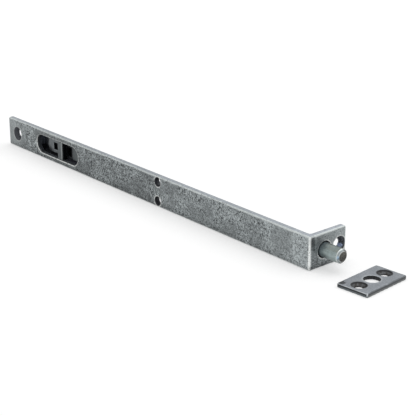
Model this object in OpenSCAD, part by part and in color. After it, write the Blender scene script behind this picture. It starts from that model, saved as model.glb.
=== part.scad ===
// Flush door bolt: a flat faceplate with a return leg, a round bolt shot by a finger slide
// behind it, and a loose keep plate for the frame. Millimetres.
// Origin: where the bolt's axis crosses the leg's outer face, at mid-width.
// +X is the way the bolt shoots, +Y goes back into the door, +Z is across the faceplate.

/* [Faceplate] */
// Length of the faceplate, to the leg's outer face
plate_l = 254; // [235:1:320]
// Width of the faceplate
plate_w = 17; // [16.5:0.5:22]
// Thickness of the faceplate and of its leg
plate_t = 3.2; // [2.6:0.1:4]
// Depth of the return leg, from the faceplate's front
leg_d = 23.8; // [22.5:0.1:30]
// Radius outside the bend
bend_r = 1.6; // [1.2:0.1:2.4]
// Radius inside the bend
bend_inner_r = 0.8; // [0.4:0.1:1.2]
// Radius worn on the edges that show
front_edge_r = 1; // [0.4:0.1:1.1]
// Radius on the edges against the door
back_edge_r = 0.5; // [0.2:0.1:0.8]
// Corner radius at the faceplate's free end
end_corner_r = 1.4; // [0.6:0.1:3]
// Corner radius at the leg's free end
leg_corner_r = 1.8; // [0.6:0.1:3]

/* [Screw holes] */
// End screw, from the faceplate's free end
end_screw_in = 9.6; // [7:0.1:12]
// Head of the end screw
end_head_d = 8.2; // [6.5:0.1:9.5]
// Shank hole of the end screw
end_screw_d = 4.8; // [3.5:0.1:5.2]
// Pair of small screws, from the leg's outer face
pair_in = 110.2; // [95:0.1:125]
// Pitch of the pair, across the faceplate
pair_pitch = 10.4; // [9.6:0.1:11]
// Head of a screw of the pair
pair_head_d = 5.2; // [4.6:0.1:5.6]
// Shank hole of a screw of the pair
pair_screw_d = 4.2; // [3:0.1:4.4]
// Leg screw, from the leg's free edge
leg_screw_in = 4.6; // [4.4:0.1:5.4]
// Head of the leg screw
leg_head_d = 8; // [6.5:0.1:8.6]
// Shank hole of the leg screw
leg_screw_d = 4.4; // [3.5:0.1:4.8]

/* [Finger slot] */
// Near end of the slot, from the faceplate's free end
slot_in = 30.6; // [28:0.1:40]
// Length of the slot, round ends included
slot_l = 41.5; // [40:0.5:52]
// Width of the slot
slot_w = 10.8; // [10.2:0.1:11.4]

/* [Travel] */
// How far the bolt still shoots from where it stands
travel_out = 11; // [9.5:0.1:12.5]
// How far the bolt draws back from where it stands
travel_in = 11; // [8.5:0.1:12]

/* [Bolt] */
// Diameter of the bolt
bolt_d = 7; // [6:0.1:8.2]
// Length of the bolt
bolt_l = 60; // [55:0.5:68]
// How far the bolt stands out of the leg
bolt_out = 11.4; // [9:0.1:13]
// Chamfer round the bolt's nose
nose_chamfer = 0.9; // [0.5:0.1:1.6]
// Depth of the flat that seats the bolt on its bar
flat_depth = 0.4; // [0.2:0.05:0.7]
// Clearance round the bolt in the leg
bolt_gap = 0.2; // [0.1:0.05:0.4]
// Chamfer round the bolt's hole in the leg's outer face
hole_chamfer = 0.5; // [0.2:0.05:0.7]

/* [Slide] */
// Thickness of the slide bar
bar_t = 3; // [2.4:0.1:3.6]
// Width of the bar's head, behind the finger slot
head_w = 8; // [7:0.1:9]
// Length of the bar's head past the finger tab
head_l = 28; // [22:0.5:34]
// Width of the bar's shank
shank_w = 5; // [4.6:0.1:5.6]
// Bar's tail behind the finger tab
tail_l = 14; // [12:0.5:15]
// Corner radius at the bar's tail
tail_corner_r = 2.6; // [0.6:0.1:3]
// Length of bar under the bolt
bar_lap = 33.5; // [28:0.5:34]
// Running gap between the bar and the faceplate
slide_gap = 0.3; // [0.1:0.05:0.4]
// Thickness of the finger tab, along the travel
tab_t = 4.2; // [3.6:0.1:5]
// Clearance of the finger tab in the slot's width, each side
tab_gap = 0.2; // [0.1:0.05:0.4]
// How far the tab's face lies behind the faceplate's front
tab_sink = 0.25; // [0.1:0.05:0.6]
// Radius on the finger tab's two front edges
tab_edge_r = 0.6; // [0.3:0.1:1]
// Width of the window through the bar's head, behind the tab
window_w = 4.1; // [3.6:0.1:5]
// Window left open behind the tab
window_open = 8.4; // [6:0.1:10.5]
// Width of the second window, ahead of the tab
fore_window_w = 5.2; // [4:0.1:5.6]
// Length of the second window
fore_window_l = 4.9; // [4:0.1:7]
// Shoulder of the tab on each side of its tenon
tenon_step = 0.6; // [0.4:0.05:0.9]

/* [Friction spring] */
// Thickness of the leaf
leaf_t = 0.4; // [0.3:0.05:0.6]
// Width of the leaf
leaf_w = 6.4; // [6:0.1:7]
// Length of the leaf
leaf_l = 19; // [16:0.5:20]
// Room for the leaf behind the bar
leaf_room = 1.4; // [1.25:0.05:1.8]
// Flat foot at each end of the leaf
leaf_foot = 1.2; // [0.8:0.1:2]

/* [Housing and guides] */
// Sheet thickness of the slide housing
housing_t = 0.7; // [0.5:0.05:0.9]
// Room left in the housing past the slot and the leaf when the bolt is shot
housing_over = 1.4; // [0.8:0.1:3]
// Width of the housing's flange
flange_w = 14.8; // [14.6:0.1:15.4]
// Flange past each end of the housing
flange_end = 6; // [5:0.1:7]
// Sheet thickness of the guide bridges
bridge_t = 0.8; // [0.6:0.05:1]
// Length of a guide bridge along the bar
bridge_l = 8; // [6:0.1:12]
// Width of each bridge foot
bridge_foot = 2.8; // [2.6:0.1:3]
// Room left between the bar's head and the inner guide when the bolt is shot
inner_guide_room = 5.8; // [2:0.1:9]
// Room left between the outer guide and the bolt when the bolt is drawn back
outer_guide_room = 12.3; // [2:0.1:16]
// Side clearance of the bar in its guides
guide_gap = 0.15; // [0.1:0.05:0.3]

/* [Rivets and screws] */
// Shank of a drive rivet
rivet_d = 1.6; // [1.2:0.1:1.8]
// Head of a drive rivet
rivet_head_d = 2.4; // [2.2:0.1:2.5]
// Height of a rivet's head
rivet_head_h = 0.5; // [0.3:0.05:0.7]
// Metal left in front of a blind rivet hole
rivet_skin = 1.2; // [0.8:0.1:1.5]
// Screw that holds the bolt on its bar
fixing_d = 2.5; // [2:0.1:2.8]
// Head of that screw
fixing_head_d = 4.2; // [3.6:0.1:4.4]
// Depth of that screw in the bolt
fixing_deep = 4.4; // [3:0.1:5.2]
// First and last fixing screw, from the ends of the lap
fixing_in = 7.5; // [5:0.1:9]
// Clearance round a fixed shank
fit_gap = 0.03; // [0.02:0.01:0.06]

/* [Keep plate] */
// Length of the keep plate
keep_l = 28.5; // [28:0.5:34]
// Width of the keep plate
keep_w = 17; // [14:0.5:20]
// Thickness of the keep plate
keep_t = 2; // [1.5:0.1:3]
// Corner radius of the keep plate
keep_corner_r = 0.8; // [0.4:0.1:2]
// Radius on the keep plate's upper edges
keep_edge_r = 0.3; // [0.1:0.05:0.5]
// Clearance round the bolt in the keep
keep_gap = 0.4; // [0.1:0.05:0.6]
// Pitch of the keep's screws
keep_pitch = 18.4; // [17.6:0.1:20]
// Head of a keep screw
keep_head_d = 7.2; // [6:0.1:8]
// Shank hole of a keep screw
keep_screw_d = 3.8; // [3:0.1:4.8]
// Middle of the loose keep, from the leg's outer face
keep_away = 26.6; // [24:0.1:60]
// Middle of the loose keep, behind the faceplate's front
keep_behind = 12.5; // [5:0.1:30]
// Turn of the loose keep
keep_turn = 4.7; // [0:0.1:45]

/* [Hidden] */
$fn = 64;
// Cuts run this far past a face
over = 1;
// Planes from front to back
bolt_back = plate_t + slide_gap + bar_t + bolt_d / 2 - flat_depth;
front_y = -bolt_back;
back_y = front_y + plate_t;
bar_y0 = back_y + slide_gap;
bar_y1 = bar_y0 + bar_t;
floor_y = bar_y1 + leaf_room;
leg_y1 = front_y + leg_d;
edge_z = plate_w / 2;
// Places along the faceplate
end_x = -plate_l;
slot_x0 = end_x + slot_in;
slot_x1 = slot_x0 + slot_l;
tab_x1 = slot_x1 - slot_w / 2 - travel_out;
tab_x0 = tab_x1 - tab_t;
tab_x = (tab_x0 + tab_x1) / 2;
tail_x = tab_x0 - tail_l;
head_x1 = tab_x1 + head_l;
bolt_x0 = bolt_out - bolt_l;
bar_x1 = bolt_x0 + bar_lap;
housing_x0 = tail_x - travel_in - guide_gap;
housing_x1 = max(slot_x1, tab_x + leaf_l / 2 + travel_out) + housing_over;
inner_guide_x = head_x1 + travel_out + inner_guide_room + bridge_l / 2;
outer_guide_x = bolt_x0 - travel_in - outer_guide_room - bridge_l / 2;
// Half-widths of the housing, at its open side and at its floor
housing_mouth = max(slot_w / 2, head_w / 2 + guide_gap) + fit_gap;
housing_floor = head_w / 2 + guide_gap;
guide_half = shank_w / 2 + guide_gap;
rivet_z = flange_w / 2 - rivet_head_d / 2;
bridge_rivet_z = guide_half + bridge_t + bridge_foot / 2;
tenon_l = tab_t - 2 * tenon_step;
tenon_w = window_w - 2 * fit_gap;
tenon_y1 = bar_y1 + 2 * leaf_t;

// Extrudes a section drawn in (y, z) along X
module along_x(x0, x1) {
    translate([x0, 0, 0]) rotate([90, 0, 90]) linear_extrude(x1 - x0) children();
}

// Extrudes a section drawn in (x, z) along Y
module along_y(y0, y1) {
    translate([0, y1, 0]) rotate([90, 0, 0]) linear_extrude(y1 - y0) children();
}

// Box between two corners
module block(a, b) {
    translate(a) cube(b - a);
}

// What a round corner takes off, at a corner whose metal lies towards (su, sv)
module corner_cut(r, su, sv) {
    difference() {
        translate([su > 0 ? -over : -r, sv > 0 ? -over : -r]) square(r + over);
        translate([su * r, sv * r]) circle(r);
    }
}

// Countersunk hole along +Z: its head's mouth is at z = 0 and it runs down to z = -deep
module countersink(head_d, shank_d, deep) {
    cone = (head_d - shank_d) / 2;
    translate([0, 0, -deep - over]) cylinder(h = deep + 2 * over, d = shank_d);
    translate([0, 0, -cone]) cylinder(h = cone, d1 = shank_d, d2 = head_d);
    cylinder(h = over, d = head_d);
}

// Drive rivet along +Y, with its head's underside at y = 0
module drive_rivet(grip) {
    dome_r = (pow(rivet_head_d / 2, 2) + pow(rivet_head_h, 2)) / (2 * rivet_head_h);
    rotate([-90, 0, 0]) {
        translate([0, 0, -grip]) cylinder(h = grip, d = rivet_d);
        intersection() {
            translate([0, 0, rivet_head_h - dome_r]) sphere(dome_r);
            cylinder(h = rivet_head_h + over, d = rivet_head_d);
        }
    }
}

// Hole for a drive rivet, blind in the faceplate and through the sheet behind it
module rivet_hole(sheet) {
    translate([0, front_y + rivet_skin, 0]) rotate([-90, 0, 0])
        cylinder(h = plate_t - rivet_skin + sheet + over, d = rivet_d + 2 * fit_gap);
}

// Places of the housing's three rivets: one past its closed end, two beside the bar
module at_housing_rivets() {
    translate([housing_x0 - housing_t - flange_end / 2, 0, 0]) children();
    for (s = [-1, 1])
        translate([housing_x1 + housing_t + flange_end / 2, 0, s * rivet_z]) children();
}

// Places of a bridge's two rivets
module at_bridge_rivets(x) {
    for (s = [-1, 1]) translate([x, 0, s * bridge_rivet_z]) children();
}

// Faceplate and leg seen from above, with the bend's two radii
module plate_outline() {
    difference() {
        union() {
            translate([end_x, front_y]) square([plate_l, plate_t]);
            translate([-plate_t, front_y]) square([plate_t, leg_d]);
            translate([-plate_t, back_y]) mirror([1, 0]) difference() {
                square(bend_inner_r);
                translate([bend_inner_r, bend_inner_r]) circle(bend_inner_r);
            }
        }
        translate([0, front_y]) corner_cut(bend_r, -1, 1);
        translate([end_x, front_y]) corner_cut(front_edge_r, 1, 1);
        translate([end_x, back_y]) corner_cut(back_edge_r, 1, -1);
        translate([0, leg_y1]) corner_cut(front_edge_r, -1, -1);
        translate([-plate_t, leg_y1]) corner_cut(back_edge_r, 1, -1);
    }
}

// Stadium slot for the fingertip
module finger_slot() {
    r = slot_w / 2;
    for (x = [slot_x0 + r, slot_x1 - r])
        translate([x, front_y - over, 0]) rotate([-90, 0, 0]) cylinder(h = plate_t + 2 * over, r = r);
    block([slot_x0 + r, front_y - over, -r], [slot_x1 - r, back_y + over, r]);
}

// One plate bent at the end, its shown edges rounder than the edges against the door
module faceplate() {
    hole_d = bolt_d + 2 * bolt_gap;
    color([0.49, 0.51, 0.51]) difference() {
        translate([0, 0, -edge_z]) linear_extrude(plate_w) plate_outline();
        for (s = [-1, 1]) {
            along_x(end_x - over, over)
                translate([front_y, s * edge_z]) corner_cut(front_edge_r, 1, -s);
            along_x(end_x - over, -plate_t)
                translate([back_y, s * edge_z]) corner_cut(back_edge_r, -1, -s);
            along_y(front_y - over, leg_y1 + over)
                translate([0, s * edge_z]) corner_cut(front_edge_r, -1, -s);
            along_y(back_y, leg_y1 + over)
                translate([-plate_t, s * edge_z]) corner_cut(back_edge_r, 1, -s);
            along_y(front_y - over, back_y + over)
                translate([end_x, s * edge_z]) corner_cut(end_corner_r, 1, -s);
            along_x(-plate_t - over, over)
                translate([leg_y1, s * edge_z]) corner_cut(leg_corner_r, -1, -s);
            translate([-pair_in, front_y, s * pair_pitch / 2]) rotate([90, 0, 0])
                countersink(pair_head_d, pair_screw_d, plate_t);
        }
        translate([end_x + end_screw_in, front_y, 0]) rotate([90, 0, 0])
            countersink(end_head_d, end_screw_d, plate_t);
        translate([0, leg_y1 - leg_screw_in, 0]) rotate([0, 90, 0])
            countersink(leg_head_d, leg_screw_d, plate_t);
        rotate([0, 90, 0]) countersink(hole_d + 2 * hole_chamfer, hole_d, plate_t);
        finger_slot();
        at_housing_rivets() rivet_hole(0);
        at_bridge_rivets(inner_guide_x) rivet_hole(0);
        at_bridge_rivets(outer_guide_x) rivet_hole(0);
    }
}

// Section of the housing's trough, grown outwards by the sheet's thickness
module trough(grow) {
    mouth = housing_mouth + grow;
    base = housing_floor + grow;
    polygon([
        [back_y, -mouth], [back_y, mouth],
        [floor_y + grow, base], [floor_y + grow, -base]
    ]);
}

// Pressed steel tray behind the slot: closed at the tail, open for the bar
module slide_housing() {
    sheet_y1 = back_y + housing_t;
    color([0.42, 0.43, 0.44]) difference() {
        union() {
            along_x(housing_x0 - housing_t, housing_x1 + housing_t) trough(housing_t);
            block(
                [housing_x0 - housing_t - flange_end, back_y, -flange_w / 2],
                [housing_x1 + housing_t + flange_end, sheet_y1, flange_w / 2]
            );
        }
        along_x(housing_x0, housing_x1) trough(0);
        block(
            [housing_x0, back_y - over, -housing_mouth],
            [housing_x1, back_y + fit_gap, housing_mouth]
        );
        block(
            [housing_x1 - over, back_y - over, -housing_floor],
            [housing_x1 + housing_t + flange_end + over, bar_y1 + guide_gap, housing_floor]
        );
        at_housing_rivets() rivet_hole(housing_t);
    }
}

// Three drive rivets through the housing's flange
module housing_rivets() {
    color([0.5, 0.51, 0.52]) at_housing_rivets()
        translate([0, back_y + housing_t, 0])
            drive_rivet(housing_t + plate_t - rivet_skin - fit_gap);
}

// Strap bent over the bar's shank, with a foot on each side
module guide_bridge(x) {
    outer = guide_half + bridge_t;
    foot = outer + bridge_foot;
    top_y = bar_y1 + guide_gap + bridge_t;
    color([0.46, 0.47, 0.48]) difference() {
        along_x(x - bridge_l / 2, x + bridge_l / 2) difference() {
            union() {
                translate([back_y, -foot]) square([bridge_t, 2 * foot]);
                translate([back_y, -outer]) square([top_y - back_y, 2 * outer]);
            }
            translate([back_y - over, -guide_half])
                square([bar_y1 + guide_gap - back_y + over, 2 * guide_half]);
            for (s = [-1, 1]) translate([top_y, s * outer]) corner_cut(bridge_t, -1, -s);
        }
        at_bridge_rivets(x) rivet_hole(bridge_t);
    }
}

module inner_guide_bridge() {
    guide_bridge(inner_guide_x);
}

module outer_guide_bridge() {
    guide_bridge(outer_guide_x);
}

// Four drive rivets through the bridges' feet
module guide_rivets() {
    color([0.5, 0.51, 0.52]) for (x = [inner_guide_x, outer_guide_x])
        at_bridge_rivets(x) translate([0, back_y + bridge_t, 0])
            drive_rivet(bridge_t + plate_t - rivet_skin - fit_gap);
}

// Places of the two screws that hold the bolt on its bar, on the bar's front face
module at_bolt_screws() {
    for (x = [bolt_x0 + fixing_in, bar_x1 - fixing_in])
        translate([x, bar_y0, 0]) rotate([90, 0, 0]) children();
}

// Flat bar: a wide head behind the slot, with two windows, and a narrow shank to the bolt
module slide_bar() {
    color([0.4, 0.41, 0.42]) difference() {
        union() {
            block([tail_x, bar_y0, -head_w / 2], [head_x1, bar_y1, head_w / 2]);
            block([tab_x, bar_y0, -shank_w / 2], [bar_x1, bar_y1, shank_w / 2]);
        }
        block(
            [tab_x0 - window_open, bar_y0 - over, -window_w / 2],
            [tab_x + tenon_l / 2 + fit_gap, bar_y1 + over, window_w / 2]
        );
        block(
            [tab_x1 + tenon_step, bar_y0 - over, -fore_window_w / 2],
            [tab_x1 + tenon_step + fore_window_l, bar_y1 + over, fore_window_w / 2]
        );
        for (s = [-1, 1]) along_y(bar_y0 - over, bar_y1 + over)
            translate([tail_x, s * head_w / 2]) corner_cut(tail_corner_r, 1, -s);
        at_bolt_screws() countersink(fixing_head_d, fixing_d + 2 * fit_gap, bar_t);
    }
}

// Finger tab: its tenon runs through the bar and the leaf, and is peened over behind them
module finger_tab() {
    half = slot_w / 2 - tab_gap;
    tenon_x0 = tab_x - tenon_l / 2;
    tenon_x1 = tab_x + tenon_l / 2;
    color([0.47, 0.49, 0.49]) union() {
        translate([0, 0, -half]) linear_extrude(2 * half) difference() {
            translate([tab_x0, front_y + tab_sink]) square([tab_t, bar_y0 - front_y - tab_sink]);
            translate([tab_x0, front_y + tab_sink]) corner_cut(tab_edge_r, 1, 1);
            translate([tab_x1, front_y + tab_sink]) corner_cut(tab_edge_r, -1, 1);
        }
        block([tenon_x0, bar_y0, -tenon_w / 2], [tenon_x1, tenon_y1, tenon_w / 2]);
        block(
            [tenon_x0 - tenon_step / 2, bar_y1 + leaf_t, -tenon_w / 2 - tenon_step / 2],
            [tenon_x1 + tenon_step / 2, tenon_y1, tenon_w / 2 + tenon_step / 2]
        );
    }
}

// Bowed leaf: flat under the peened tenon, with both ends pressed on the housing's floor
module friction_spring() {
    seat = tab_t / 2;
    half = leaf_l / 2;
    foot_y = floor_y - fit_gap - leaf_t;
    // One half of the leaf's face: the seat's end, the foot's start and the foot's end
    half_line = [[seat, bar_y1], [half - leaf_foot, foot_y], [half, foot_y]];
    last = len(half_line) - 1;
    line = [
        for (i = [last : -1 : 0]) [-half_line[i].x, half_line[i].y],
        for (p = half_line) p
    ];
    back = [for (i = [len(line) - 1 : -1 : 0]) line[i] + [0, leaf_t]];
    color([0.55, 0.56, 0.58]) difference() {
        translate([tab_x, 0, -leaf_w / 2]) linear_extrude(leaf_w) polygon(concat(line, back));
        block(
            [tab_x - tenon_l / 2 - fit_gap, bar_y1 - over, -window_w / 2],
            [tab_x + tenon_l / 2 + fit_gap, bar_y1 + leaf_t + over, window_w / 2]
        );
    }
}

// Round bolt, turned with a chamfered nose and milled flat where it seats on its bar
module bolt() {
    r = bolt_d / 2;
    color([0.52, 0.54, 0.53]) difference() {
        translate([bolt_x0, 0, 0]) rotate([0, 90, 0]) union() {
            cylinder(h = bolt_l - nose_chamfer, r = r);
            translate([0, 0, bolt_l - nose_chamfer])
                cylinder(h = nose_chamfer, r1 = r, r2 = r - nose_chamfer);
        }
        block([bolt_x0 - over, -r - over, -r], [bar_x1 + over, bar_y1, r]);
        at_bolt_screws() translate([0, 0, -bar_t - fixing_deep - fit_gap])
            cylinder(h = fixing_deep + fit_gap + over, d = fixing_d + 2 * fit_gap);
    }
}

// Two slotted countersunk screws, flush with the bar's front face
module bolt_screws() {
    cone = (fixing_head_d - fixing_d) / 2;
    color([0.5, 0.51, 0.52]) at_bolt_screws() difference() {
        union() {
            translate([0, 0, -bar_t - fixing_deep]) cylinder(h = bar_t + fixing_deep, d = fixing_d);
            translate([0, 0, -cone]) cylinder(h = cone, d1 = fixing_d, d2 = fixing_head_d - fit_gap);
        }
        block([-fixing_head_d, -fixing_d / 8, -cone / 2], [fixing_head_d, fixing_d / 8, over]);
    }
}

// Keep plate for the frame, lying loose beside the bolt as it is supplied
module keep_plate() {
    half_w = keep_w / 2;
    half_l = keep_l / 2;
    color([0.44, 0.46, 0.48])
        translate([keep_away, front_y + keep_behind, -edge_z]) rotate([0, 0, keep_turn]) difference() {
            block([-half_w, -half_l, 0], [half_w, half_l, keep_t]);
            for (s = [-1, 1]) {
                for (q = [-1, 1])
                    translate([q * half_w, s * half_l, -over])
                        linear_extrude(keep_t + 2 * over) corner_cut(keep_corner_r, -q, -s);
                along_x(-half_w - over, half_w + over)
                    translate([s * half_l, keep_t]) corner_cut(keep_edge_r, -s, -1);
                along_y(-half_l - over, half_l + over)
                    translate([s * half_w, keep_t]) corner_cut(keep_edge_r, -s, -1);
                translate([0, s * keep_pitch / 2, keep_t])
                    countersink(keep_head_d, keep_screw_d, keep_t);
            }
            translate([0, 0, -over]) cylinder(h = keep_t + 2 * over, d = bolt_d + 2 * keep_gap);
        }
}

faceplate();
slide_housing();
housing_rivets();
inner_guide_bridge();
outer_guide_bridge();
guide_rivets();
slide_bar();
finger_tab();
friction_spring();
bolt();
bolt_screws();
keep_plate();
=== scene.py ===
# Flush door bolt in a worn pewter patina, with its loose keep plate, on a pale floor.
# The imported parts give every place. Lengths in this file are millimetres until they
# meet Blender, which gets metres.
import math

import bmesh
import bpy
from mathutils import Matrix, Vector, noise


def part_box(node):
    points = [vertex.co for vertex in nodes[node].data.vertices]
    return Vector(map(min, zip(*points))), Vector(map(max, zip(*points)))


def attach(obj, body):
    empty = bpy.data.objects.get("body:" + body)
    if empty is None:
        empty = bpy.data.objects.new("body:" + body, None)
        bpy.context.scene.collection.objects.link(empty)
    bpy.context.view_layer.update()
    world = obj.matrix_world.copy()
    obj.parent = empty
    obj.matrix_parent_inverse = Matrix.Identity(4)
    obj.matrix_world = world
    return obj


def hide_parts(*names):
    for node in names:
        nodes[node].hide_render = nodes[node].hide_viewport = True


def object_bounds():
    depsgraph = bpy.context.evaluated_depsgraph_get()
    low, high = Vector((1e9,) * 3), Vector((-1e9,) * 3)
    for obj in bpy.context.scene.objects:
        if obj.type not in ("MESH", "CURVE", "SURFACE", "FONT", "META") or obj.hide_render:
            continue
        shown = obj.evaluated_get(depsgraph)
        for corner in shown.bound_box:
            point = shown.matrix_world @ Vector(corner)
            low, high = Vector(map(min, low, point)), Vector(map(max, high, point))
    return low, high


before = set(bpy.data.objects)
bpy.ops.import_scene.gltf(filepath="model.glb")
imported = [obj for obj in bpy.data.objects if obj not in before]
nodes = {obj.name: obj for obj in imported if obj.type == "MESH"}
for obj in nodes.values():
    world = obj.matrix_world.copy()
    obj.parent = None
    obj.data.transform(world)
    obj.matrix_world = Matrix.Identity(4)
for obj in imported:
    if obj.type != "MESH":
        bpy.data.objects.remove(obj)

MM = 0.001
cad_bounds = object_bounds()


# Faceplate: one mild steel plate, bent at the end into the return leg and drilled for its
# screws, then tumbled until its edges are uneven and finished in a dull pewter patina.
# It carries everything else and is screwed into a rebate in the door's edge.
class Finish:
    """A socket of a material's nodes. Arithmetic on it adds Math nodes."""

    def __init__(self, tree, socket=None):
        self.tree = tree
        self.socket = socket

    def node(self, kind, settings=None, sockets=None, output=0):
        """Adds a node: its settings first, then the values or links of its sockets."""
        made = self.tree.nodes.new("ShaderNode" + kind)
        for name, value in (settings or {}).items():
            setattr(made, name, value)
        for name, value in (sockets or {}).items():
            if isinstance(value, Finish):
                self.tree.links.new(value.socket, made.inputs[name])
            else:
                made.inputs[name].default_value = value
        return Finish(self.tree, made.outputs[output] if made.outputs else None)

    def math(self, operation, *values):
        return self.node("Math", {"operation": operation}, dict(enumerate(values)))

    def __add__(self, other):
        return self.math("ADD", self, other)

    __radd__ = __add__

    def __sub__(self, other):
        return self.math("SUBTRACT", self, other)

    def __rsub__(self, other):
        return self.math("SUBTRACT", other, self)

    def __mul__(self, other):
        return self.math("MULTIPLY", self, other)

    __rmul__ = __mul__

    def lower(self, other):
        """The lower of two values."""
        return self.math("MINIMUM", self, other)

    def higher(self, other):
        """The higher of two values."""
        return self.math("MAXIMUM", self, other)

    def size(self):
        """The value without its sign."""
        return self.math("ABSOLUTE", self)

    def far(self, up):
        """How far a point is that lies this much along and that much up."""
        squares = self * self + up * up
        return squares.math("SQRT", squares)

    def ramp(self, start, end):
        """0 at start and 1 at end, smooth between them; start may be the higher."""
        return self.node(
            "MapRange", {"interpolation_type": "SMOOTHSTEP"},
            {"Value": self, "From Min": start, "From Max": end},
        )

    def grain(self, spacing, detail=3.0, roughness=0.55, distortion=0.0):
        """Noise from 0 to 1 over a place in millimetres, with lumps about spacing apart."""
        return self.node("TexNoise", None, {
            "Vector": self, "Scale": 1 / spacing, "Detail": detail,
            "Roughness": roughness, "Distortion": distortion,
        })

    def ridges(self, spacing, width, distortion=1.5):
        """Thin wandering lines, 1 on the line, where a smooth noise crosses its middle."""
        return (self.grain(spacing, 1, 0.5, distortion) - 0.5).size().ramp(width, 0)

    def blend(self, low, high):
        """The colour low where this mask is 0, and high where it is 1."""
        return self.node("Mix", {"data_type": "RGBA"}, {0: self, 6: low, 7: high}, output=2)


def new_finish(name):
    """A material with empty nodes, and the place on the piece in millimetres."""
    material = bpy.data.materials.new(name)
    material.use_nodes = True
    material.node_tree.nodes.clear()
    start = Finish(material.node_tree)
    place = start.node("TexCoord", output="Object")
    return material, place.node("VectorMath", {"operation": "SCALE"}, {0: place, "Scale": 1 / MM})


def finish_metal(colour, metallic, roughness, relief):
    """Ends a finish: relief is its height in millimetres."""
    normal = relief.node("Bump", None, {"Strength": 1.0, "Distance": MM, "Height": relief})
    shader = colour.node("BsdfPrincipled", None, {
        "Base Color": colour, "Metallic": metallic, "Roughness": roughness, "Normal": normal,
    })
    shader.node("OutputMaterial", None, {"Surface": shader})


def split(place):
    """The x, y and z of a place."""
    return [place.node("SeparateXYZ", None, {0: place}, output=axis) for axis in "XYZ"]


def merged_copy(node, name):
    """A piece with the CAD node's shape, its triangles joined at their corners."""
    mesh = nodes[node].data.copy()
    mesh.name = name
    shape = bmesh.new()
    shape.from_mesh(mesh)
    bmesh.ops.remove_doubles(shape, verts=shape.verts, dist=0.001 * MM)
    shape.to_mesh(mesh)
    shape.free()
    piece = bpy.data.objects.new(name, mesh)
    bpy.context.scene.collection.objects.link(piece)
    return piece


def settle(piece):
    """Makes the modifiers' result the piece's own mesh."""
    graph = bpy.context.evaluated_depsgraph_get()
    made = bpy.data.meshes.new_from_object(piece.evaluated_get(graph))
    old = piece.data
    piece.modifiers.clear()
    piece.data = made
    bpy.data.meshes.remove(old)


def tumbled_copy(node, name, cell):
    """A copy of a CAD node in an even fine mesh, whose sharp rims come out softened."""
    piece = merged_copy(node, name)
    remesh = piece.modifiers.new("even mesh", "REMESH")
    remesh.mode = "VOXEL"
    remesh.voxel_size = cell * MM
    remesh.use_smooth_shade = True
    settle(piece)
    return piece


LONG_WAVE, SHORT_WAVE = 3.2, 1.3


def wear_down(piece, skin):
    """Takes an uneven skin off a piece. skin(x, y, z) is its thickness in millimetres."""
    shape = bmesh.new()
    shape.from_mesh(piece.data)
    shape.normal_update()
    for vert in shape.verts:
        waves = noise.noise(vert.co / (LONG_WAVE * MM))
        waves += 0.6 * noise.noise(vert.co / (SHORT_WAVE * MM))
        vert.co -= vert.normal * MM * skin(*(vert.co / MM)) * (0.5 + 0.5 * waves)
    shape.to_mesh(piece.data)
    shape.free()


def dress(piece, material, node, body):
    """Gives a piece its material, and puts it in a CAD node's place on its body."""
    piece.data.materials.clear()
    piece.data.materials.append(material)
    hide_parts(node)
    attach(piece, body)


PLATE_T = 3.2
PLATE_CELL = 0.45
PLATE_SKIN, PLATE_WEAR = 0.02, 0.16
EDGE_REACH, BEND_REACH = 1.6, 2.4
plate_low, plate_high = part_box("faceplate")
plate_x0, front_y = plate_low.x / MM, plate_low.y / MM
leg_y1, half_w = plate_high.y / MM, plate_high.z / MM


def plate_skin(x, y, z):
    """A thin skin all over, thicker along the front edges and the bend."""
    edge = min(half_w - abs(z), x - plate_x0, leg_y1 - y)
    depth = min(y - front_y, -x)
    near_edge = max(0.0, 1 - edge / EDGE_REACH) * max(0.0, 1 - depth / EDGE_REACH)
    near_bend = max(0.0, 1 - (y - front_y - x) / BEND_REACH)
    return PLATE_SKIN + PLATE_WEAR * max(near_edge, near_bend)


faceplate = tumbled_copy("faceplate", "faceplate_patinated", PLATE_CELL)
wear_down(faceplate, plate_skin)

# Holes: the end screw, the slot, the pair of screws, and in the leg the bolt and a screw
END_HOLE_X, END_HEAD_R = plate_x0 + 9.6, 4.1
SLOT_X, SLOT_R, SLOT_HALF = plate_x0 + 51.35, 5.4, 15.35
PAIR_X, PAIR_Z, PAIR_HEAD_R = -110.2, 5.2, 2.6
LEG_MOUTH_R, LEG_SCREW_Y, LEG_HEAD_R = 4.2, leg_y1 - 4.6, 4.0

# Depth under the front, and distances from the edges, the far end and the holes
pewter, place = new_finish("pewter patina")
x, y, z = split(place)
depth = (y - front_y).lower(0 - x)
edge = (half_w - z.size()).lower(leg_y1 - y)
end = x - plate_x0
on_leg = x.ramp(-PLATE_T - 0.2, -PLATE_T + 0.2)
leg_face = x.ramp(-1.2, -0.4)
plate_hole = (x - END_HOLE_X).far(z) - END_HEAD_R
plate_hole = plate_hole.lower(((x - SLOT_X).size() - SLOT_HALF).higher(0).far(z) - SLOT_R)
plate_hole = plate_hole.lower((x - PAIR_X).far(z.size() - PAIR_Z) - PAIR_HEAD_R)
leg_hole = (y.far(z) - LEG_MOUTH_R).lower((y - LEG_SCREW_Y).far(z) - LEG_HEAD_R)
hole = plate_hole * (1 - on_leg) + leg_hole * on_leg

# The patina's specks, lumps, broad clouds, small pits and thin veins
fine = place.grain(0.8, 4, 0.7, 1.0)
lumps = place.grain(2.6, 3, 0.6, 2.2)
clouds = place.grain(13, 2, 0.5, 0.5)
pits = place.grain(1.2, 2, 0.6, 0.5).ramp(0.4, 0.3)
veins = place.ridges(3.4, 0.045) * clouds.ramp(0.35, 0.6)
veins = veins.higher(place.ridges(7, 0.018, 2.5) * 0.8)
ragged = (lumps - 0.5) * 1.6 + (fine - 0.5)

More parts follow.
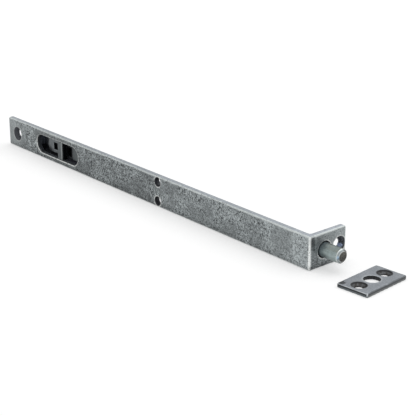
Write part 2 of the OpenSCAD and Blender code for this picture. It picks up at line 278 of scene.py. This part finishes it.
# Tone of the long face: plainer and lighter at the far end, darker from the pair of screws
# to the slot, lighter towards the bend, and coarse beside it, with one light line across
DARK_FROM_X, DARK_TO_X = -104, -118
LIGHT_FROM_X, LIGHT_TO_X = -34, -24
COARSE_FROM_X, COARSE_TO_X = -13, -10
LIGHT_LINE_X = -10.3
tail = (end + ragged * 1.5).ramp(21, 9)
grainy = (fine - 0.5) * 6.5 + (lumps - 0.5) * 2.2 + veins * 0.6 - pits
grainy = grainy * (0.6 + clouds.ramp(0.4, 0.6) * 0.7) * (1 - tail * 0.55)
tone = 0.5 + grainy * (1 - leg_face * 0.4) + (clouds - 0.5) * 0.4
tone = tone - x.ramp(DARK_FROM_X, DARK_TO_X) * 0.24 + tail * 0.3 + end.ramp(16, 4) * 0.12
tone = tone + x.ramp(LIGHT_FROM_X, LIGHT_TO_X) * 0.22
coarse = (x + ragged * 3).ramp(COARSE_FROM_X, COARSE_TO_X) * (1 - x.ramp(-1.5, -0.5))
light_line = (x - LIGHT_LINE_X + ragged * 0.5).size().ramp(0.8, 0.2) * z.ramp(-6, -2)
tone = tone + coarse * ((fine - 0.5) * 3 + 0.35) + light_line * (1 - on_leg) * 0.3
# Painted shade: darker towards the lower edge, next to the floor, and more so on the leg
tone = tone - (z + ragged).ramp(-5, -8) * (0.3 + leg_face * 0.3)

# Tone of the leg's face: painted darker near the bend and lighter away from it, partly as
# shade on this side, which gets less light, and partly as darker patina by the bend; and
# stained between the bend and the bolt, with a light line where the stain ends
STAIN_LINE_Y = -5.9
tone = tone - leg_face * (0.18 - (y + ragged * 2).ramp(-4, 11) * 0.28)
stain = y.ramp(-9.2, -8.6) * (y + ragged * 0.6).ramp(-6, -7) * (z + ragged).ramp(0, 4)
stain_line = (y - STAIN_LINE_Y + ragged * 0.4).size().ramp(0.6, 0.15) * z.ramp(1.5, 3)
tone = tone - leg_face * (stain * 0.5 - stain_line * 0.35)

# Colours of the faces and of the plainer sides behind them
colour = tone.ramp(-0.8, 2.2).blend((0.004, 0.007, 0.009, 1), (0.55, 0.6, 0.61, 1))
side_colour = (tone * 0.5 + 0.25).blend((0.2, 0.22, 0.24, 1), (0.36, 0.39, 0.425, 1))
colour = (depth + ragged * 0.1).ramp(0.4, 0.7).blend(colour, side_colour)

# Bright metal where rubbing has worn the edges and the holes' rims, and a painted
# highlight along the bend's rounding
band_edge = edge + ragged * 0.35 + (clouds - 0.5) * 1.2
band = band_edge.ramp(1.05, 0.65) * (depth + ragged * 0.15).ramp(0.8, 0.4)
# Painted shade: the band is weaker along the lower edge, where less light falls
band = band * z.ramp(-8, 2).higher(0.45)
end_rim = (end + ragged * 0.3).ramp(0.9, 0.4) * 0.2
worn_and_lit = band.higher(end_rim) * (0.65 + tone * 0.35)
colour = worn_and_lit.blend(colour, (0.62, 0.66, 0.655, 1))
rim = (hole + ragged * 0.12).ramp(0.62, 0.4) * depth.ramp(0.6, 0.3)
rim = rim * end.ramp(14, 18).higher(0.35)
rim = rim * (0.6 + (lumps - 0.45) * 2.4 - z.ramp(0, 5) * 0.3)
colour = rim.lower(0.95).blend(colour, (0.8, 0.82, 0.8, 1))
# Painted highlight along the bend's rounding
bend = (y - front_y - x + ragged * 0.25).ramp(1.4, 0.98) * (0.75 + tone * 0.5)
colour = bend.lower(1).blend(colour, (0.95, 0.98, 0.97, 1))

# Bores painted dark as shade, ending at the plate's back, with lighter specks and a
# painted bluish reflection in the leg's screw hole
GLINT_Y, GLINT_Z = LEG_SCREW_Y + 2.1, -1.3
inside = hole.ramp(0.06, -0.06) * depth.ramp(PLATE_T - 0.08, PLATE_T - 0.2)
leg_screw = on_leg * y.ramp(LEG_MOUTH_R + 0.3, LEG_MOUTH_R + 0.5)
bore = end.ramp(15, 14).blend((0.026, 0.028, 0.034, 1), (0.058, 0.062, 0.07, 1))
bore = (fine.ramp(0.45, 0.6) * leg_screw).blend(bore, (0.1, 0.11, 0.13, 1))
colour = inside.blend(colour, bore)
# Painted reflection: a bluish glint in the leg's screw hole
glint = (y - GLINT_Y).far(z - GLINT_Z).ramp(1.15, 0.55) * inside * leg_screw
glint = glint * (0.55 + (fine - 0.5) * 2)
colour = glint.blend(colour, (0.42, 0.52, 0.75, 1))

relief = (fine * 0.04 + lumps * 0.05 + veins * 0.02 - pits * 0.03) * (1 + coarse * 1.2)
finish_metal(colour, 0.6, 0.46 - worn_and_lit.higher(bend) * 0.12 + (fine - 0.5) * 0.2, relief)
dress(faceplate, pewter, "faceplate", "faceplate_assembly")


# Slide housing and guide bridges: pressed from dark sheet steel, with rounded folds, and
# held on the back of the faceplate by drive rivets.
def softened_copy(node, name, width, segments=3):
    """A copy of a CAD node with its sharp edges rounded."""
    piece = merged_copy(node, name)
    shape = bmesh.new()
    shape.from_mesh(piece.data)
    bmesh.ops.dissolve_limit(
        shape, angle_limit=math.radians(1), verts=shape.verts, edges=shape.edges)
    for face in shape.faces:
        face.smooth = True
    shape.to_mesh(piece.data)
    shape.free()
    rounding = piece.modifiers.new("rounded edges", "BEVEL")
    rounding.width = width * MM
    rounding.segments = segments
    rounding.limit_method = "ANGLE"
    rounding.angle_limit = math.radians(30)
    rounding.harden_normals = True
    return piece


def uneven_colour(place, spacing, dark, light):
    """A colour that wanders between dark and light, with its fine and its cloudy noise."""
    fine = place.grain(spacing, 4, 0.6)
    cloudy = place.grain(spacing * 9, 2, 0.5, 0.8)
    tone = 0.5 + (fine - 0.5) * 1.1 + (cloudy - 0.5) * 0.9
    return tone.ramp(0, 1).blend(dark, light), fine, cloudy


# Painted shade in the tray's inside, seen through the slot: near black, and a little
# lighter beyond the tab
PLATE_BACK_Y = front_y + PLATE_T
TRAY_FLOOR_Y, TRAY_WALL_Z, TRAY_WALL_LEAN = -1.7, 5.88, 0.272
LESS_SHADE_X = -200
dark_sheet, place = new_finish("dark sheet")
x, y, z = split(place)
colour, fine, cloudy = uneven_colour(
    place, 0.5, (0.12, 0.14, 0.165, 1), (0.27, 0.3, 0.34, 1))
tray_shade = (x - SLOT_X + (cloudy - 0.5) * 3).size().ramp(15.5, 11.5)
tray_shade = tray_shade.higher(z.ramp(-3, -4.5) * 0.9)
wall = z.size() + (y - PLATE_BACK_Y) * TRAY_WALL_LEAN
tray_shade = tray_shade * wall.ramp(TRAY_WALL_Z, TRAY_WALL_Z - 0.2)
tray_shade = tray_shade * y.ramp(TRAY_FLOOR_Y + 0.45, TRAY_FLOOR_Y + 0.25)
tray_shade_colour = x.ramp(LESS_SHADE_X - 1, LESS_SHADE_X + 1).blend(
    (0.008, 0.008, 0.01, 1), (0.1, 0.1, 0.13, 1))
colour = (tray_shade * 0.95).blend(colour, tray_shade_colour)
finish_metal(colour, 0.7, 0.5 + (fine - 0.5) * 0.2, fine * 0.015)
housing = softened_copy("slide_housing", "slide_housing_pressed", 0.22)
dress(housing, dark_sheet, "slide_housing", "faceplate_assembly")
for bridge in ("inner_guide_bridge", "outer_guide_bridge"):
    strap = softened_copy(bridge, bridge + "_pressed", 0.18)
    dress(strap, dark_sheet, bridge, "faceplate_assembly")


# Drive rivets and the bolt's two screws: plain steel, as they come from stock. The rivets
# hold the housing and the bridges, and the screws hold the bolt on the slide bar.
def plain_finish(name, dark, light, spacing, height, metallic, roughness):
    """A one-colour metal with uneven tone, a light grain and a shallow relief."""
    material, place = new_finish(name)
    colour, fine, _ = uneven_colour(place, spacing, dark, light)
    finish_metal(colour, metallic, roughness + (fine - 0.5) * 0.2, fine * height)
    return material


plain_steel = plain_finish(
    "plain steel", (0.3, 0.31, 0.32, 1), (0.5, 0.51, 0.52, 1), 0.3, 0.006, 1.0, 0.3)
for fastener in ("housing_rivets", "guide_rivets", "bolt_screws"):
    nodes[fastener].material_slots[0].material = plain_steel


# Slide bar and finger tab: darkened mild steel. The tab's tenon goes through the bar and
# is peened over behind it.
tab_low, tab_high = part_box("finger_tab")
TAB_X0, TAB_X1 = tab_low.x / MM, tab_high.x / MM
WINDOW_END = TAB_X1 + 5.5
BAR_Y0, BAR_Y1 = (corner.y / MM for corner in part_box("slide_bar"))
slide_steel, place = new_finish("slide steel")
x, y, z = split(place)
colour, fine, cloudy = uneven_colour(
    place, 0.6, (0.085, 0.095, 0.102, 1), (0.24, 0.26, 0.268, 1))
# Painted shade on the tab and on the bar beyond it
shade_past_tab = (x - TAB_X0 + 0.1).ramp(0, 0.2) * 0.5
colour = shade_past_tab.blend(colour, (0.055, 0.066, 0.066, 1))

# Painted shade beside the tab, along the bar's lower side and in the larger window
uneven = (cloudy - 0.5) * 1.5
bar_shade = x.ramp(TAB_X1 - 0.2, TAB_X1) * (x + uneven).ramp(WINDOW_END + 1.4, WINDOW_END + 0.2)
bar_shade = bar_shade.higher((z + uneven).ramp(0, -3) * (x + uneven).ramp(TAB_X0 - 8, TAB_X0 - 12))
window_wall = (y - BAR_Y0).ramp(0.2, 0.5) * (y - BAR_Y1).ramp(0, -0.15)
window_wall = window_wall * z.size().ramp(3, 2.6) * (x - TAB_X0 + 9.5).ramp(0, 0.5)
bar_shade = bar_shade.higher(window_wall * (x - WINDOW_END - 1).ramp(0, -0.5))
colour = (bar_shade * 0.92).blend(colour, (0.014, 0.016, 0.02, 1))

# Fingers rub the tab's outer edge bright, and the colour there also paints the highlight
# that this edge catches
rubbed_and_lit = (x - TAB_X1 + 0.15).size().ramp(0.5, 0.2) * (y - front_y - 0.3).ramp(1.2, 0.6)
colour = (rubbed_and_lit * 0.6).blend(colour, (0.4, 0.43, 0.43, 1))
finish_metal(colour, 0.8, 0.42 + (fine - 0.5) * 0.2, fine * 0.012)
bar = softened_copy("slide_bar", "slide_bar_finished", 0.2)
dress(bar, slide_steel, "slide_bar", "slide")
tab = softened_copy("finger_tab", "finger_tab_finished", 0.2)
dress(tab, slide_steel, "finger_tab", "slide")


# Friction spring: a bowed leaf of hardened strip, blacked in oil, behind the bar. It
# presses on the housing and keeps the slide where it is put.
spring_steel = plain_finish(
    "spring steel", (0.02, 0.023, 0.03, 1), (0.05, 0.055, 0.07, 1), 0.4, 0.004, 0.8, 0.35)
nodes["friction_spring"].material_slots[0].material = spring_steel


# Bolt: turned from 7 mm round bar, with a chamfered nose, and milled flat where it sits on
# the slide bar. It has the same patina, worn smooth.
bolt_low, bolt_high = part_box("bolt")
bolt_back, bolt_tip = bolt_low.x / MM, bolt_high.x / MM
BOLT_R = 3.5
NOSE = 0.9
END_R = BOLT_R - NOSE
TURN_STEPS = 96
FLAT_Y = bolt_low.y / MM
flat_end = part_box("slide_bar")[1].x / MM + 1
shape = bmesh.new()
profile = [
    (bolt_back, 0), (bolt_back, BOLT_R - 0.3), (bolt_back + 0.3, BOLT_R),
    (flat_end - 0.01, BOLT_R), (flat_end, BOLT_R), (bolt_tip - NOSE - 0.15, BOLT_R),
    (bolt_tip - NOSE + 0.1, BOLT_R - 0.07), (bolt_tip - 0.2, END_R + 0.15),
    (bolt_tip - 0.02, END_R - 0.1), (bolt_tip, END_R - 0.4), (bolt_tip, 0),
]
ring = [shape.verts.new((px * MM, 0, pr * MM)) for px, pr in profile]
edges = [shape.edges.new(pair) for pair in zip(ring, ring[1:])]
bmesh.ops.spin(
    shape, geom=ring + edges, cent=(0, 0, 0), axis=(1, 0, 0), angle=math.tau,
    steps=TURN_STEPS, use_merge=True)
bmesh.ops.remove_doubles(shape, verts=shape.verts, dist=0.001 * MM)
for vert in shape.verts:
    if vert.co.x < (flat_end - 0.005) * MM and vert.co.y < FLAT_Y * MM:
        vert.co.y = FLAT_Y * MM
bmesh.ops.recalc_face_normals(shape, faces=shape.faces)
for face in shape.faces:
    face.smooth = True
mesh = bpy.data.meshes.new("bolt_turned")
shape.to_mesh(mesh)
shape.free()
bolt = bpy.data.objects.new("bolt_turned", mesh)
bpy.context.scene.collection.objects.link(bolt)

# The shank: streaks along it from drawing, a painted highlight along the middle of its
# side with painted shade towards its top and bottom, a warm band above that, and painted
# bluish shade beside the leg
bolt_steel, place = new_finish("bolt steel")
x, y, z = split(place)
fine = place.grain(0.6, 3, 0.6)
drawn = place.node("VectorMath", {"operation": "MULTIPLY"}, {0: place, 1: (0.2, 2.6, 2.6)})
drawn = drawn.grain(1.0, 2, 0.5)
cloudy = place.grain(4, 2, 0.5, 1.0)
tone = 0.3 + (fine - 0.5) * 0.7 + (drawn - 0.5) * 1.2 + (cloudy - 0.5) * 0.6
# Painted highlight along the middle of the side, and painted shade towards top and bottom
tone = tone + z.size().ramp(3.3, 0.3) * 0.5 + z.ramp(0.8, 1.8) * 0.14 - z.ramp(2, 3.3) * 0.25
colour = tone.ramp(0, 1).blend((0.115, 0.145, 0.145, 1), (0.355, 0.425, 0.42, 1))
warm = (z + (cloudy - 0.5) * 3).ramp(1.6, 2.8) * drawn.ramp(0.45, 0.6) * 0.5
colour = warm.blend(colour, (0.17, 0.155, 0.115, 1))
# Painted bluish shade beside the leg
near_leg = (x + cloudy * 2).ramp(4, 1.5) * 0.6
colour = near_leg.blend(colour, (0.13, 0.175, 0.2, 1))

# The nose: a patchy chamfer painted lighter on one side, with painted highlights on its
# rims and a painted bluish reflection, and a mottled dark end
GLINT_Y = -2.85
radius = y.far(z)
nose = (x + (fine - 0.5) * 0.5).ramp(bolt_tip - NOSE - 0.3, bolt_tip - NOSE)
nose = nose * radius.ramp(END_R - 0.5, END_R - 0.2)
patchy = (cloudy - 0.5) * 2.4 + (fine - 0.5) * 1.6
# Painted light: the chamfer is lighter on one side
bright_side = (y + patchy - z * 0.5).ramp(1.2, -2)
nose_colour = bright_side.blend((0.08, 0.082, 0.075, 1), (0.33, 0.37, 0.38, 1))
# Painted highlights on the chamfer's rims, on the lighter side
rubbed_and_lit = (radius - END_R + 0.15).size().lower((radius - BOLT_R).size()).ramp(0.25, 0.08)
rubbed_and_lit = rubbed_and_lit * (y + patchy * 1.2 - z * 0.4).ramp(1.6, -1)
nose_colour = (rubbed_and_lit * 0.85).blend(nose_colour, (0.75, 0.78, 0.77, 1))
# Painted reflection: a bluish glint on the chamfer
glint = (y - GLINT_Y).far(z * 0.6 - 0.1 + patchy * 0.15).ramp(0.75, 0.3)
nose_colour = glint.blend(nose_colour, (0.38, 0.52, 0.64, 1))
colour = nose.blend(colour, nose_colour)
face = x.ramp(bolt_tip - 0.25, bolt_tip - 0.05) * radius.ramp(END_R - 0.1, END_R - 0.35)
mottled = 0.5 + (fine - 0.5) * 2.5 + (cloudy - 0.5) * 1.5
face_colour = mottled.ramp(0, 1).blend((0.055, 0.052, 0.048, 1), (0.19, 0.185, 0.165, 1))
colour = face.blend(colour, face_colour)
finish_metal(colour, 0.6, 0.36 - nose * 0.1, fine * 0.006 + drawn * 0.008)
dress(bolt, bolt_steel, "bolt", "slide")


# Keep plate: a flat plate for the door frame, with a plain hole for the bolt and two
# countersunk screw holes, in a smoother and bluer patina. It lies loose beside the bolt.
KEEP_CELL = 0.25
KEEP_HALF_W, KEEP_HALF_L, KEEP_T = 8.5, 14.25, 2.0
KEEP_TURN = math.radians(4.7)
KEEP_SKIN, KEEP_WEAR, KEEP_REACH = 0.01, 0.2, 0.9
KEEP_HOLE_R, KEEP_HEAD_R, KEEP_PITCH = 3.9, 3.6, 18.4
keep_low, keep_high = (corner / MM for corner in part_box("keep_plate"))
keep_middle = (keep_low + keep_high) / 2


def keep_skin(x, y, z):
    """A thin skin all over, thickest along the upper edges."""
    out = Vector((x - keep_middle.x, y - keep_middle.y))
    out.rotate(Matrix.Rotation(-KEEP_TURN, 2))
    edge = min(KEEP_HALF_W - abs(out.x), KEEP_HALF_L - abs(out.y))
    depth = keep_high.z - z
    near_edge = max(0.0, 1 - edge / KEEP_REACH) * max(0.0, 1 - depth / KEEP_REACH)
    return KEEP_SKIN + KEEP_WEAR * near_edge


keep = tumbled_copy("keep_plate", "keep_plate_patinated", KEEP_CELL)
wear_down(keep, keep_skin)

# Places are read from the middle of its upper face: x across it, y along it
keep_patina, place = new_finish("keep patina")
turned = place.node("Mapping", {"vector_type": "TEXTURE"}, {
    "Vector": place, "Location": (keep_middle.x, keep_middle.y, keep_high.z),
    "Rotation": (0, 0, KEEP_TURN)})
x, y, z = split(turned)
edge = (KEEP_HALF_W - x.size()).lower(KEEP_HALF_L - y.size())
bolt_hole = x.far(y) - KEEP_HOLE_R
screw_hole = x.far(y.size() - KEEP_PITCH / 2) - KEEP_HEAD_R
short_side = y.ramp(1 - KEEP_HALF_L, 0.3 - KEEP_HALF_L)
long_side = x.ramp(KEEP_HALF_W - 1, KEEP_HALF_W - 0.3)
fine = turned.grain(0.6, 3, 0.6)
cloudy = turned.grain(5, 2, 0.5, 0.8)
ragged = (fine - 0.5) * 0.8 + (cloudy - 0.5) * 0.9

# The upper face, and sides with painted shade: darker in their upper half, lighter below
# where light comes up from the floor, and the near short side darker than the others
tone = 0.5 + (fine - 0.5) * 1.3 + (cloudy - 0.5) * 0.6
colour = tone.ramp(0, 1).blend((0.135, 0.15, 0.167, 1), (0.265, 0.285, 0.312, 1))
side = (z + ragged * 0.25).ramp(-0.25, -0.5) * edge.ramp(0.5, 0.15)
lower_side = short_side.blend((0.2, 0.21, 0.21, 1), (0.15, 0.17, 0.18, 1))
upper_side = short_side.blend((0.075, 0.08, 0.085, 1), (0.028, 0.031, 0.035, 1))
side_colour = (z + ragged * 0.6).ramp(-1.5, -0.9).blend(lower_side, upper_side)
colour = side.blend(colour, side_colour)

# A dark ragged band along the top of one long edge, and a dark stain on one corner
STAIN_X, STAIN_Y = 1.6 - KEEP_HALF_W, 1.8 - KEEP_HALF_L
dark_long_edge = long_side * (y + ragged * 3).ramp(-13.5, -12)
dark_long_edge = dark_long_edge * (edge + ragged * 1.8).ramp(0.8, 0.4) * z.ramp(-0.6, -0.4)
colour = (dark_long_edge * 0.75).blend(colour, (0.05, 0.054, 0.06, 1))
stain = (x - STAIN_X).far(y - STAIN_Y) + ragged * 1.6
colour = (stain.ramp(2.1, 1.5) * 0.92).blend(colour, (0.03, 0.033, 0.036, 1))

# Bright metal on the worn edges and round the bolt's hole, with one long edge left dim as
# painted shade, and a painted highlight down the near corner
worn_and_lit = (edge + ragged * 0.25).ramp(0.32, 0.12) * z.ramp(-0.45, -0.25) * (1 - long_side * 0.85)
# Painted highlight down the near corner
near_corner = short_side.far(long_side).ramp(1.0, 1.4)
worn_and_lit = worn_and_lit.higher(near_corner * (z + ragged * 0.5).ramp(-1.4, -1.0))
ring = (bolt_hole + ragged * 0.3).ramp(1.0, 0.5) * z.ramp(-0.4, -0.2)
worn_and_lit = worn_and_lit.higher(ring * 0.28)
colour = (worn_and_lit * 0.9).blend(colour, (0.6, 0.63, 0.65, 1))

# Holes painted dark as shade, with flecks of lighter metal deep in the countersinks
BETWEEN_HOLES_R = 5
inside = bolt_hole.ramp(0.08, 0.0) * z.ramp(-0.02, -0.15)
inside = inside.higher((screw_hole + ragged * 0.3).ramp(0.34, 0.12))
inside = inside * z.ramp(0.05 - KEEP_T, 0.2 - KEEP_T)
deep = (z + ragged * 0.4).ramp(-0.35, -0.8) * (z + ragged * 0.3).ramp(-1.8, -1.3)
deep = deep * (x.far(y) - BETWEEN_HOLES_R).ramp(-0.2, 0.2).higher(0.3)
flecks = turned.grain(1.3, 3, 0.6).ramp(0.42, 0.6)
deep_colour = flecks.blend((0.038, 0.034, 0.031, 1), (0.1, 0.104, 0.11, 1))
colour = inside.blend(colour, deep.blend((0.014, 0.015, 0.017, 1), deep_colour))
finish_metal(colour, 0.6, 0.42 - worn_and_lit * 0.1, fine * 0.012 + cloudy * 0.02)
dress(keep, keep_patina, "keep_plate", "keep")


# Studio: a pale floor that fades to white, soft light from above and behind, and the
# photograph's camera.
FLOOR_HALF = 2
shape = bmesh.new()
bmesh.ops.create_grid(shape, x_segments=1, y_segments=1, size=FLOOR_HALF)
mesh = bpy.data.meshes.new("floor")
shape.to_mesh(mesh)
shape.free()
floor = bpy.data.objects.new("floor", mesh)
floor.location.z = cad_bounds[0][2]
bpy.context.scene.collection.objects.link(floor)


def seen_by(start, *rays):
    """1 for the rays named and 0 for all others."""
    seen = start.node("LightPath", output=rays[0])
    for ray in rays[1:]:
        seen = seen.higher(start.node("LightPath", output=ray))
    return seen


paper, place = new_finish("floor paper")
x, y = split(place)[:2]
far_off = x.far(y).ramp(250, 700)
matt = place.node("BsdfDiffuse", None, {"Color": (0.64, 0.64, 0.64, 1)})
glow = place.node("Emission", None, {
    "Color": far_off.blend((0.465, 0.465, 0.465, 1), (0.865, 0.865, 0.865, 1)),
    "Strength": seen_by(place, "Is Camera Ray", "Is Glossy Ray")})
both = place.node("AddShader", None, {0: matt, 1: glow})
both.node("OutputMaterial", None, {"Surface": both})
mesh.materials.append(paper)

AMBIENT = 0.54
world = bpy.data.worlds.new("studio")
bpy.context.scene.world = world
world.use_nodes = True
world.node_tree.nodes.clear()
start = Finish(world.node_tree)
seen = seen_by(start, "Is Camera Ray", "Is Glossy Ray", "Is Transmission Ray")
sky = start.node("Background", None, {
    "Color": (1, 1, 1, 1), "Strength": AMBIENT + seen * (1 - AMBIENT)})
sky.node("OutputWorld", None, {"Surface": sky})

LAMP_PLACE, LAMP_AIM = Vector((-0.1, 0.35, 1.1)), Vector((-0.1, 0, 0))
soft_box = bpy.data.lights.new("overhead soft box", "AREA")
soft_box.shape = "SQUARE"
soft_box.size = 1.6
soft_box.energy = 8
lamp = bpy.data.objects.new("overhead soft box", soft_box)
lamp.location = LAMP_PLACE
lamp.rotation_euler = (LAMP_AIM - LAMP_PLACE).to_track_quat("-Z", "Y").to_euler()
bpy.context.scene.collection.objects.link(lamp)

LENS_PX, FRAME_PX, SENSOR = 1191.4, 416, 36.0
CAMERA_PLACE = (0.34539, -0.36479, 0.20731)
LOOKS_DOWN, TURNED_BY = 20.547, 49.478
camera_data = bpy.data.cameras.new("camera")
camera_data.sensor_width = SENSOR
camera_data.lens = LENS_PX * SENSOR / FRAME_PX
camera_data.clip_start = 0.01
camera = bpy.data.objects.new("camera", camera_data)
camera.location = CAMERA_PLACE
camera.rotation_euler = (math.radians(90 - LOOKS_DOWN), 0, math.radians(TURNED_BY))
bpy.context.scene.collection.objects.link(camera)
bpy.context.scene.camera = camera
bpy.context.scene.view_settings.view_transform = "Standard"
